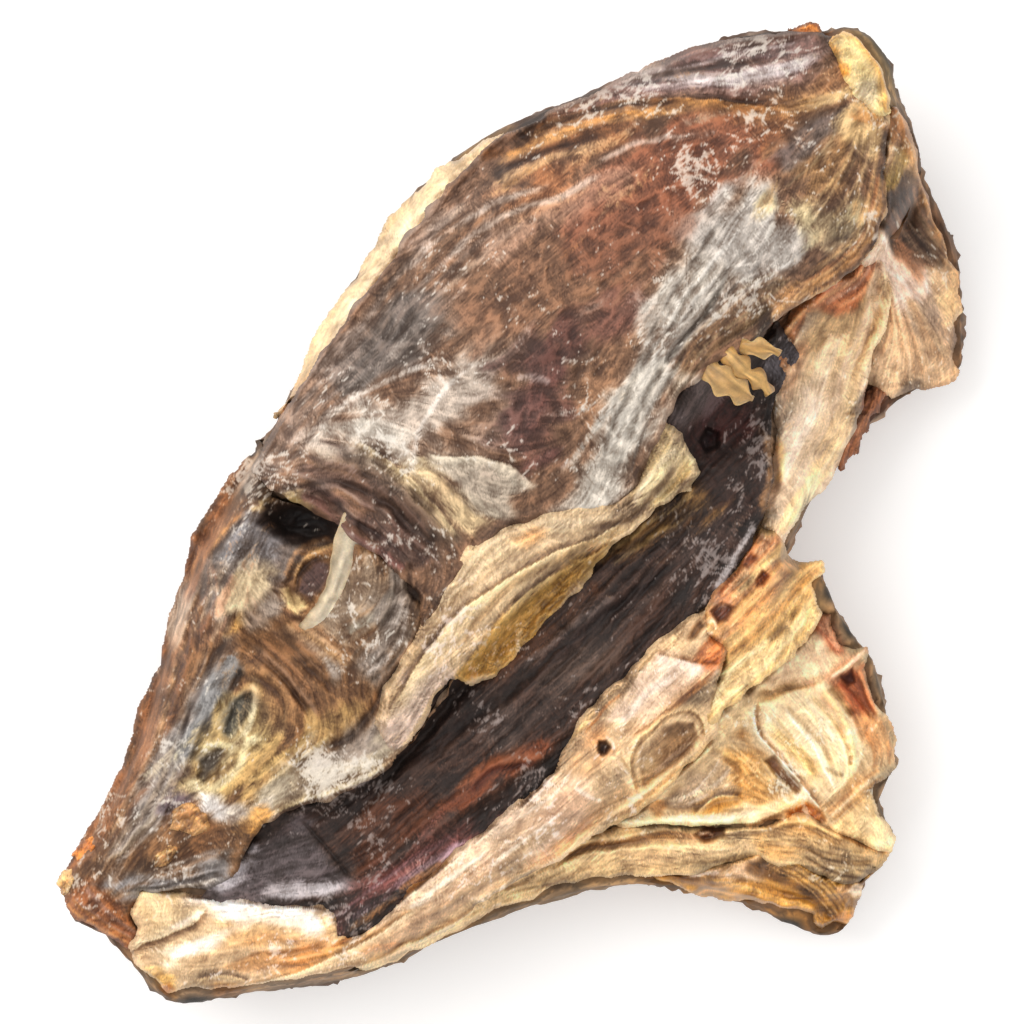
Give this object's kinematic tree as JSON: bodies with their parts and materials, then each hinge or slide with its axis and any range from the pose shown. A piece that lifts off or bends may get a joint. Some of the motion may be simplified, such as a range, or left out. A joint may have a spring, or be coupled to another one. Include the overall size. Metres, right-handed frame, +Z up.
{
  "type": "dried stockfish head",
  "caption": "Whole cod head hung until hard, with leathery browned skin, an open eye socket, gaping jaws of pale bone and torn gill covers.",
  "frame": {"origin": "on the table under the middle of the head's bounding box, the head lying on its right cheek", "axes": "+X from the snout to the gill covers, +Y from the throat to the crown, +Z up through the left cheek"},
  "size_m": [0.26, 0.1852, 0.0874],
  "materials": {
    "dried_skin": "dry, matt, wrinkled skin over bone, frosted with fine pale fibres"
  },
  "bodies": {
    "root": {"stockfish_head": "dried_skin"}
  },
  "joints": []
}
